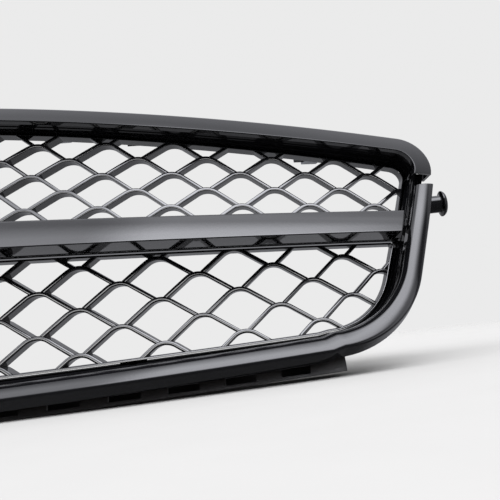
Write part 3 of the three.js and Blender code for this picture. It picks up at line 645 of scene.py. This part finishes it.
def blade_mesh(name):
    edge = lambda height, depth: wing_edge(BADGE_RADIUS + 1, BLADE_HALF, height, depth)
    middle = lambda x: (blade_top(x) + blade_foot(x)) / 2
    edges = [
        edge(blade_top, BLADE_FRONT + 4.5),
        edge(middle, BLADE_FRONT + 1.9),
        edge(blade_foot, BLADE_FRONT),
        edge(shelf_foot, BLADE_BACK),
        edge(lambda x: shelf_foot(x) + WALL, BLADE_BACK),
        edge(lambda x: blade_foot(x) + WALL, BLADE_FRONT + 2.8),
        edge(lambda x: blade_top(x) - WALL, BLADE_FRONT + 6.5),
        edge(lambda x: shelf_top(x) - WALL, BLADE_BACK),
        edge(shelf_top, BLADE_BACK),
    ]
    sections = rounded(drawn(edges), [1.1, 7, 0.9, 0.4, 0.4, 0.8, 0.8, 0.4, 0.4], 5)
    return loft_mesh(name, eased_ends(sections), False)


def shelf_mesh(name):
    front, back = BLADE_BACK + 2 * GAP, PANEL_DEPTH
    edge = lambda height, depth: wing_edge(POST_HALF + GAP, OPENING_HALF - 0.5, height, depth)
    above, below = [], []
    for share, recess in [(0, 0.8), (0.28, 0.8), (0.29, 0.4), (0.52, 0.4), (0.53, 0)]:
        depth = front + (back - front) * share
        above.append(edge(lambda x, s=share, r=recess: shelf_top(x) - 0.5 * s - r, depth))
        below.append(edge(lambda x, s=share, r=recess: shelf_foot(x) + SHELF_RISE * s + r, depth))
    edges = [
        *above[::-1],
        *below,
        edge(lambda x: shelf_foot(x) + SHELF_RISE, back),
        edge(lambda x: shelf_foot(x) + SHELF_RISE + WALL, back),
        edge(lambda x: shelf_foot(x) + WALL + 0.6, front + WALL),
        edge(lambda x: shelf_top(x) - WALL - 0.6, front + WALL),
        edge(lambda x: shelf_top(x) - 0.5 - WALL, back),
        edge(lambda x: shelf_top(x) - 0.5, back),
    ]
    step_radii = [0.2, 0.12, 0.2, 0.12, 0.3]
    radii = step_radii + step_radii[::-1] + [0.3, 0.3, 0.6, 0.6, 0.3, 0.3]
    return loft_mesh(name, rounded(drawn(edges), radii, 3), False)


def rounded_profile(profile, radii, steps=4):
    flat = [[[r, y, 0] for r, y in profile]]
    return rounded(flat, radii, steps)[0][:, :2]


def on_badge(points):
    return on_shell(np.asarray(points) + [0, 0, BADGE_HEIGHT])


PEG_SEAT = BADGE_FRONT + 3
PEG_PLACES = [(PEG_CIRCLE * math.cos(a), BADGE_HEIGHT + PEG_CIRCLE * math.sin(a))
              for a in np.radians([45, 135, 225, 315])]


def column_mesh(name, half, front, back, low, high, steps=40):
    """An upright bar of the centre, bent with the shell."""
    rings = []
    for z in np.linspace(low, high, steps + 1):
        rings.append([[-half, front, z], [half, front, z], [half, back, z], [-half, back, z]])
    return loft_mesh(name, rounded(rings, [0.6] * 4, 3), False)


def carrier_mesh():
    wall, half = 3.0, 55.0
    profile = [(0, BADGE_FRONT), (BADGE_RADIUS, BADGE_FRONT), (BADGE_RADIUS, BLADE_BACK),
               (BADGE_RADIUS - wall, BLADE_BACK), (BADGE_RADIUS - wall, PEG_SEAT), (0, PEG_SEAT)]
    cup = turned_mesh("cup", rounded_profile(profile, [0, 1, 0.6, 0.6, 1.5, 0]), 128, on_badge)
    low, high = BADGE_HEIGHT - half, BADGE_HEIGHT + half
    web = column_mesh("web", POST_HALF, PEG_SEAT - 1, 1, low, high)
    hollow = column_mesh("hollow", POST_HALF - wall, PEG_SEAT, PANEL_DEPTH + 1,
                         low + wall, high - wall)
    top = float(opening_top(0)) - GAP - 1.2
    post = column_mesh("post", POST_HALF, 0, PANEL_DEPTH, opening_foot(0) + GAP, top)
    body = boolean(boolean(cup, web, "UNION"), post, "UNION")
    body = boolean(body, hollow, "DIFFERENCE")
    for x, z in PEG_PLACES:
        drill = drill_mesh(PEG_BORE, 9, 32, shell_frame(x, PEG_SEAT, z))
        body = boolean(body, drill, "DIFFERENCE")
    return body


def badge_ring_mesh():
    back, inner = BADGE_FRONT - GAP, PLATE_RADIUS + GAP
    profile = [(inner, back), (inner, back - 4.5), (inner + 1.7, back - 6),
               (BADGE_RADIUS - 2, back - 5.6), (BADGE_RADIUS, back - 3), (BADGE_RADIUS, back)]
    return turned_mesh("badge_ring", rounded_profile(profile, [0.3, 1, 1.4, 1.4, 1.4, 0.3], 6),
                       160, on_badge)


def badge_plate_mesh():
    back = BADGE_FRONT - 4 * GAP
    edge, dome = 2.0, 3.2
    front = [(PLATE_RADIUS * s, back - edge - dome * (1 - s * s)) for s in np.linspace(1, 0, 25)]
    profile = np.array([(0, back), (PLATE_RADIUS - 0.3, back), (PLATE_RADIUS, back - 0.3), *front])
    plate = turned_mesh("badge_plate", profile, 160, on_badge)
    pin = [(0, -5.5), (PEG_RADIUS, -5.5), (PEG_RADIUS, 5.5), (0, 5.5)]
    outline = rounded_profile(pin, [0, 0.3, 0.8, 0])
    for x, z in PEG_PLACES:
        peg = seated_mesh("peg", outline, 32, shell_frame(x, PEG_SEAT, z))
        plate = boolean(plate, peg, "UNION")
    return plate


# ------------------------------------------------------------------ rail, studs, small parts

def rail_height(base):
    return lambda x: base + RAIL_BOW * x * x


def box_mesh(name, low, high, steps=8):
    """A box drawn flat, in slices along x so that it can be bent."""
    rings = []
    for x in np.linspace(low[0], high[0], steps + 1):
        rings.append([[x, low[1], low[2]], [x, high[1], low[2]], [x, high[1], high[2]],
                      [x, low[1], high[2]]])
    return loft_mesh(name, rings, False, unbent)


def rail_mesh():
    """The channel under the trim, with bosses for its screws and a row of windows."""
    foot, deck = rail_height(RAIL_FOOT), rail_height(RAIL_DECK)
    x = np.linspace(-RAIL_HALF, RAIL_HALF, 97)
    edge = lambda height, depth: np.stack([x, np.full(len(x), float(depth)), height(x)], 1)
    back = RAIL_FRONT + WALL
    edges = [edge(deck, RAIL_FRONT), edge(foot, RAIL_FRONT), edge(foot, back),
             edge(lambda x: deck(x) - WALL, back), edge(lambda x: deck(x) - WALL, RAIL_BACK - WALL),
             edge(foot, RAIL_BACK - WALL), edge(foot, RAIL_BACK), edge(deck, RAIL_BACK)]
    sections = rounded(drawn(edges), [0.6, 0.5, 0.4, 0.8, 0.8, 0.4, 0.5, 0.6], 3)
    body = loft_mesh("lower_rail", eased_ends(sections, 0.3), False, unbent)
    for x in RAIL_SCREWS:
        boss = box_mesh("boss", (x - 7, -7, deck(x) - 1), (x + 7, 3, opening_foot(x) - 6.2))
        body = boolean(body, boss, "UNION")
    for i in range(WINDOW_COUNT):
        x = WINDOW_PITCH * (i - WINDOW_COUNT // 2)
        low = foot(x) + WINDOW_SILL
        window = box_mesh("window", (x - WINDOW_WIDTH / 2, RAIL_FRONT - 2, low),
                          (x + WINDOW_WIDTH / 2, back + 1, low + WINDOW_HEIGHT))
        body = boolean(body, window, "DIFFERENCE")
    bend_mesh(body)
    for x in RAIL_SCREWS:
        seat = Matrix.Translation(on_shell([x, -2, deck(x)]))
        seat = seat @ Matrix.Rotation(math.pi / 2, 4, "X")
        body = boolean(body, drill_mesh(SCREW_BORE, 10, 24, seat), "DIFFERENCE")
    return body


def stud_mesh(name):
    profile = [(0, 0), (6.4, 0), (6.4, 1.4), (5.5, 2.2), (5.5, 15.4), (8.2, 15.8), (8.2, 16.6),
               (7, 18.2), (4, 19), (0, 19)]
    outline = rounded_profile(profile, [0, 0.4, 0.5, 0.6, 1.2, 0.5, 0.6, 1.2, 1.5, 0], 5)
    seat = Matrix.Translation(on_shell(STUD_SEAT)) @ Matrix.Rotation(-math.pi / 2, 4, "Z")
    return seated_mesh(name, outline, 48, seat)


def softened_mesh(node, width):
    """A CAD piece with its flat faces made whole again and its edges rounded."""
    body = bmesh.new()
    body.from_mesh(frame["nodes"][node].data)
    bmesh.ops.remove_doubles(body, verts=body.verts, dist=1e-6)
    bmesh.ops.dissolve_limit(body, angle_limit=math.radians(1), verts=body.verts,
                             edges=body.edges)
    corners = [e for e in body.edges if len(e.link_faces) == 2 and e.calc_face_angle() > 0.6]
    bmesh.ops.bevel(body, geom=corners, offset=width * MM, segments=2, profile=0.6,
                    affect="EDGES", clamp_overlap=True)
    bmesh.ops.remove_doubles(body, verts=body.verts, dist=1e-7)
    bmesh.ops.recalc_face_normals(body, faces=body.faces)
    mesh = bpy.data.meshes.new(node)
    body.to_mesh(mesh)
    body.free()
    return mesh


# ------------------------------------------------------------------ materials

def node_tree(name):
    material = bpy.data.materials.new(name)
    material.use_nodes = True
    tree = material.node_tree
    return material, tree, tree.nodes["Principled BSDF"]


def add_node(tree, kind, links=(), **values):
    """A node with its input values and properties set, and links made into its inputs."""
    node = tree.nodes.new(kind)
    for key, value in values.items():
        if key in node.inputs:
            node.inputs[key].default_value = value
        else:
            setattr(node, key, value)
    for target, source in links:
        tree.links.new(source, node.inputs[target])
    return node


def noise(tree, where, scale, detail=2.0, rough=0.5):
    return add_node(tree, "ShaderNodeTexNoise", [("Vector", where)], Scale=scale, Detail=detail,
                    Roughness=rough)


def mixed(tree, factor, first, second):
    """A colour output that fades into a plain colour as the factor goes from 0 to 1."""
    node = add_node(tree, "ShaderNodeMix", [("Factor", factor), (6, first)], data_type="RGBA")
    node.inputs[7].default_value = (*second, 1)
    return node.outputs[2]


def ramp(tree, factor, stops):
    """A colour ramp from (position, grey or colour) stops."""
    node = add_node(tree, "ShaderNodeValToRGB", [("Fac", factor)])
    elements = node.color_ramp.elements
    while len(elements) < len(stops):
        elements.new(0.5)
    for element, (position, tone) in zip(elements, stops):
        element.position = position
        element.color = (*tone, 1) if isinstance(tone, tuple) else (tone, tone, tone, 1)
    return node


DUST_TONE = (0.03, 0.03, 0.032)


def gloss_black(name, tone=(0.006, 0.006, 0.0068), rough=0.05, ripple=0.012, sheen=0.5,
                grain_scale=420):
    """Polished black moulding: faint ripple, cloudy gloss, a little fine dust."""
    material, tree, shader = node_tree(name)
    where = tree.nodes.new("ShaderNodeTexCoord").outputs["Object"]
    cloud = noise(tree, where, 38, 3)
    grain = noise(tree, where, grain_scale, 2)
    dust = noise(tree, where, 5200, 1)
    specks = ramp(tree, dust.outputs["Fac"], [(0.0, 0.0), (0.735, 0.0), (0.77, 1.0)])
    dark = tuple(0.8 * c for c in tone)
    base = ramp(tree, cloud.outputs["Fac"], [(0.3, dark), (0.7, tone)])
    dusty = mixed(tree, specks.outputs["Color"], base.outputs["Color"], DUST_TONE)
    tree.links.new(dusty, shader.inputs["Base Color"])
    gloss = add_node(tree, "ShaderNodeMapRange", [("Value", cloud.outputs["Fac"])],
                     **{"From Min": 0.3, "From Max": 0.7,
                        "To Min": rough * 0.8, "To Max": rough * 1.25})
    tree.links.new(gloss.outputs["Result"], shader.inputs["Roughness"])
    bump = add_node(tree, "ShaderNodeBump", [("Height", grain.outputs["Fac"])],
                    Strength=ripple, Distance=0.001)
    tree.links.new(bump.outputs["Normal"], shader.inputs["Normal"])
    shader.inputs["Specular IOR Level"].default_value = sheen
    return material


def satin_black(name, tone=(0.015, 0.013, 0.012), rough=0.42):
    """Unpolished moulding with a fine spark-eroded grain."""
    return gloss_black(name, tone, rough, ripple=0.25, grain_scale=1500)


def plated_steel(name, tone, rough, metallic=1.0):
    """Steel with a cloudy plated or dipped skin and fine rolling marks."""
    material, tree, shader = node_tree(name)
    where = tree.nodes.new("ShaderNodeTexCoord").outputs["Object"]
    stretch = add_node(tree, "ShaderNodeMapping", [("Vector", where)], Scale=(60, 900, 900))
    marks = noise(tree, stretch.outputs["Vector"], 4, 3)
    cloud = noise(tree, where, 160, 4, 0.6)
    dark = tuple(0.7 * c for c in tone)
    base = ramp(tree, cloud.outputs["Fac"], [(0.35, dark), (0.65, tone)])
    tree.links.new(base.outputs["Color"], shader.inputs["Base Color"])
    gloss = ramp(tree, marks.outputs["Fac"], [(0.3, rough * 0.8), (0.7, min(1.0, rough * 1.3))])
    tree.links.new(gloss.outputs["Color"], shader.inputs["Roughness"])
    bump = add_node(tree, "ShaderNodeBump", [("Height", marks.outputs["Fac"])],
                    Strength=0.15, Distance=0.0002)
    tree.links.new(bump.outputs["Normal"], shader.inputs["Normal"])
    shader.inputs["Metallic"].default_value = metallic
    return material


# ------------------------------------------------------------------ assembly

RIM_BLACK = gloss_black("rim_black", sheen=0.3)
BLADE_BLACK = gloss_black("blade_black", sheen=0.66)
TRIM_BLACK = gloss_black("trim_black")
LATTICE_BLACK = gloss_black("lattice_black", sheen=0.95)
FRAME_BLACK = gloss_black("frame_black")
# Painted shade: frame black with far weaker reflection, so the deep surround and the shelf under
# the blade look shaded
SHADED_FRAME_BLACK = gloss_black("shaded_frame_black", sheen=0.06)
BADGE_BLACK = gloss_black("badge_black")
RAIL_BLACK = satin_black("rail_black")
COATED_STEEL = plated_steel("coated_steel", (0.02, 0.02, 0.022), 0.45, 0.0)
ZINC_STEEL = plated_steel("zinc_steel", (0.62, 0.63, 0.66), 0.32)


def place_pair(name, mesh, material, slot):
    place(f"{name}_right_skin", mesh, material, slot, f"{name}_right")
    place(f"{name}_left_skin", mirrored_mesh(mesh, name), material, slot, f"{name}_left")


place("top_rim_skin", top_rim_mesh(), RIM_BLACK, "rim_black", "top_rim")
place("lower_trim_skin", lower_trim_mesh(), TRIM_BLACK, "trim_black", "lower_trim")
# Surround and blade shelf take the weakly reflecting frame black, which paints shade on them
place("surround_frame_skin", surround_mesh(), SHADED_FRAME_BLACK, "frame_black", "surround_frame")
place_pair("upper_lattice", panel_mesh("upper", UPPER_LATTICE, **UPPER_SHAPE), LATTICE_BLACK,
           "lattice_black")
place_pair("lower_lattice", panel_mesh("lower", LOWER_LATTICE, **LOWER_SHAPE), LATTICE_BLACK,
           "lattice_black")
place_pair("blade", blade_mesh("blade"), BLADE_BLACK, "blade_black")
place_pair("blade_shelf", shelf_mesh("shelf"), SHADED_FRAME_BLACK, "frame_black")
place("badge_carrier_skin", carrier_mesh(), FRAME_BLACK, "frame_black", "badge_carrier")
place("badge_ring_skin", badge_ring_mesh(), BADGE_BLACK, "badge_black", "badge_ring")
place("badge_plate_skin", badge_plate_mesh(), BADGE_BLACK, "badge_black", "badge_plate")
place("lower_rail_skin", rail_mesh(), RAIL_BLACK, "rail_black", "lower_rail")
place_pair("side_stud", stud_mesh("stud"), FRAME_BLACK, "frame_black")

SMALL_PARTS = [("panel_tab", 8, 0.35, COATED_STEEL, "coated_steel"),
               ("tab_screw", 8, 0.25, ZINC_STEEL, "zinc_steel"),
               ("hood_bracket", 4, 0.5, COATED_STEEL, "coated_steel"),
               ("bracket_screw", 4, 0.25, ZINC_STEEL, "zinc_steel"),
               ("spring_nut", 4, 0.25, ZINC_STEEL, "zinc_steel"),
               ("badge_nut", 4, 0.2, ZINC_STEEL, "zinc_steel"),
               ("rail_screw", 6, 0.25, ZINC_STEEL, "zinc_steel")]
for kind, count, width, material, slot in SMALL_PARTS:
    for i in range(1, count + 1):
        node = f"{kind}_{i}"
        place(f"{node}_skin", softened_mesh(node, width), material, slot, node)


# ------------------------------------------------------------------ camera, floor and light

CAMERA_AIM = (231.5, 0.0, -13.3)
CAMERA_DISTANCE = 319.5
CAMERA_TURN = dict(azimuth=-0.011, elevation=-0.143, roll=-0.115)
LENS = 43.2


def make_camera():
    turn = (Matrix.Rotation(CAMERA_TURN["roll"], 3, "Y")
            @ Matrix.Rotation(CAMERA_TURN["elevation"], 3, "X")
            @ Matrix.Rotation(CAMERA_TURN["azimuth"], 3, "Z"))
    forward = turn[1]
    aim = Vector(np.array(CAMERA_AIM) * MM + DATUM)
    camera = bpy.data.objects.new("camera", bpy.data.cameras.new("camera"))
    camera.data.lens = LENS
    camera.data.clip_start = 0.01
    pose = (turn.transposed() @ Matrix.Rotation(math.pi / 2, 3, "X")).to_4x4()
    pose.translation = aim - forward * CAMERA_DISTANCE * MM
    camera.matrix_world = pose
    bpy.context.scene.collection.objects.link(camera)
    bpy.context.scene.camera = camera


class Nodes:
    """Short arithmetic on shader node outputs."""

    def __init__(self, tree):
        self.tree = tree

    def math(self, operation, *values):
        node = self.tree.nodes.new("ShaderNodeMath")
        node.operation = operation
        for socket, value in zip(node.inputs, values):
            if isinstance(value, (int, float)):
                socket.default_value = value
            else:
                self.tree.links.new(value, socket)
        return node.outputs[0]

    def step(self, value, low, high):
        """0 below low, 1 above high, eased between; falls instead when high is below low."""
        node = self.tree.nodes.new("ShaderNodeMapRange")
        node.interpolation_type = "SMOOTHSTEP"
        self.tree.links.new(value, node.inputs["Value"])
        lower, upper = min(low, high), max(low, high)
        node.inputs["From Min"].default_value, node.inputs["From Max"].default_value = lower, upper
        if high < low:
            node.inputs["To Min"].default_value, node.inputs["To Max"].default_value = 1, 0
        return node.outputs["Result"]

    def product(self, values):
        return reduce(lambda a, b: self.math("MULTIPLY", a, b), values)

    def total(self, values):
        return reduce(lambda a, b: self.math("ADD", a, b), values)


BACKDROP = 0.83
STUDIO_FILL = 0.1
STUDIO_TINT = (0.975, 0.985, 1.05)
OPEN_LEFT, OPEN_RIGHT = (-179, -178), (179, 178)
# Softboxes: strength, then where each fades in and out from side to side, and from the horizon
# in front upwards, in degrees. Side 0 is straight ahead and grows to the grille's right; pitch
# is 0 in front and 90 overhead. The first two hang above, the last two stand at the sides.
SOFTBOXES = [
    (3.3, (-65, -40), (62, 26), (32, 57), (101, 72)),
    (4.2, (-5, 6), (62, 26), (32, 57), (101, 72)),
    (2.4, OPEN_LEFT, (-38, -60), (-75, -50), (75, 50)),
    (1.3, (45, 62), OPEN_RIGHT, (-45, -15), (75, 50)),
]
# Behind the grille: overhead light and a dim wall, each with the elevations it fades in between
REAR_START = (0.0, 0.1)
REAR_LIGHT, REAR_LIGHT_RISE = 1.0, (10, 65)
REAR_WALL, REAR_WALL_RISE = 0.2, (-45, -20)


def studio_world():
    """Pale backdrop to the camera; to reflections and shading, a studio of soft boxes."""
    world = bpy.data.worlds.new("studio")
    world.use_nodes = True
    tree = world.node_tree
    nodes = Nodes(tree)
    ray = tree.nodes.new("ShaderNodeSeparateXYZ")
    tree.links.new(tree.nodes.new("ShaderNodeTexCoord").outputs["Generated"], ray.inputs[0])
    x, y, z = ray.outputs
    side = nodes.math("DEGREES", nodes.math("ARCSINE", x))
    pitch = nodes.math("DEGREES", nodes.math("ARCTAN2", z, nodes.math("MULTIPLY", y, -1)))
    elevation = nodes.math("DEGREES", nodes.math("ARCSINE", z))
    boxes = [nodes.product([nodes.step(side, *left), nodes.step(side, *right),
                            nodes.step(pitch, *foot), nodes.step(pitch, *top), strength])
             for strength, left, right, foot, top in SOFTBOXES]
    rear = nodes.step(y, *REAR_START)
    above = nodes.math("MULTIPLY", nodes.step(elevation, *REAR_LIGHT_RISE), REAR_LIGHT)
    wall = nodes.math("MULTIPLY", nodes.step(elevation, *REAR_WALL_RISE), REAR_WALL)
    behind = nodes.math("MULTIPLY", rear, nodes.math("ADD", above, wall))
    light = nodes.total([*boxes, behind, STUDIO_FILL])
    tint = add_node(tree, "ShaderNodeCombineColor")
    for channel, share in zip(("Red", "Green", "Blue"), STUDIO_TINT):
        tree.links.new(nodes.math("MULTIPLY", light, share), tint.inputs[channel])
    to_camera = tree.nodes.new("ShaderNodeLightPath").outputs["Is Camera Ray"]
    seen = mixed(tree, to_camera, tint.outputs[0], [BACKDROP] * 3)
    tree.links.new(seen, tree.nodes["Background"].inputs["Color"])
    bpy.context.scene.world = world


FLOOR_TONE = 0.452
FLOOR_TINT = (1.03, 1.015, 0.955)
FLOOR_RADIUS, FLOOR_SIDES = 1.5, 96
FLOOR_FADE = (0.55, 1.3)  # distances between which the floor turns clear, in metres


def studio_floor():
    """Pale floor at the grille's foot that fades into the backdrop with distance."""
    angles = np.linspace(0, 2 * math.pi, FLOOR_SIDES, endpoint=False)
    corners = [(FLOOR_RADIUS * math.cos(a), FLOOR_RADIUS * math.sin(a), 0.0) for a in angles]
    mesh = mesh_of("floor", corners, [tuple(range(FLOOR_SIDES))])
    material, tree, shader = node_tree("floor")
    nodes = Nodes(tree)
    where = tree.nodes.new("ShaderNodeTexCoord").outputs["Object"]
    mottle = noise(tree, where, 30, 3)
    pale = tuple(FLOOR_TONE * channel for channel in FLOOR_TINT)
    dull = tuple(0.985 * channel for channel in pale)
    tone = ramp(tree, mottle.outputs["Fac"], [(0.3, dull), (0.7, pale)])
    tree.links.new(tone.outputs["Color"], shader.inputs["Base Color"])
    shader.inputs["Roughness"].default_value = 1
    shader.inputs["Specular IOR Level"].default_value = 0
    distance = add_node(tree, "ShaderNodeVectorMath", operation="LENGTH")
    tree.links.new(where, distance.inputs[0])
    fade = nodes.step(distance.outputs["Value"], *FLOOR_FADE)
    clear = tree.nodes.new("ShaderNodeBsdfTransparent")
    blend = tree.nodes.new("ShaderNodeMixShader")
    tree.links.new(fade, blend.inputs[0])
    tree.links.new(shader.outputs[0], blend.inputs[1])
    tree.links.new(clear.outputs[0], blend.inputs[2])
    tree.links.new(blend.outputs[0], tree.nodes["Material Output"].inputs["Surface"])
    floor = bpy.data.objects.new("floor", mesh)
    floor.data.materials.append(material)
    floor.visible_glossy = False
    bpy.context.scene.collection.objects.link(floor)


STRIP_AIM = Vector((0.1, 0.02, 0.1))
STRIP_SIZE, STRIP_DISTANCE, STRIP_PITCH, STRIP_POWER = (2.2, 0.3), 1.1, 21, 11.0


def lattice_light():
    """A strip light in front that lights the lattice bars alone and draws a bright line on them."""
    lamp = bpy.data.lights.new("lattice_strip", "AREA")
    lamp.shape = "RECTANGLE"
    lamp.size, lamp.size_y = STRIP_SIZE
    lamp.energy = STRIP_POWER
    strip = bpy.data.objects.new("lattice_strip", lamp)
    pitch = math.radians(STRIP_PITCH)
    away = Vector((0, -math.cos(pitch), math.sin(pitch)))
    strip.location = STRIP_AIM + away * STRIP_DISTANCE
    strip.rotation_euler = away.to_track_quat("Z", "Y").to_euler()
    bpy.context.scene.collection.objects.link(strip)
    lit = bpy.data.collections.new("lit_by_strip")
    for piece in bpy.data.objects:
        if piece.name.endswith(("lattice_right_skin", "lattice_left_skin")):
            lit.objects.link(piece)
    strip.light_linking.receiver_collection = lit


make_camera()
studio_world()
studio_floor()
lattice_light()
bpy.context.scene.view_settings.view_transform = "Standard"
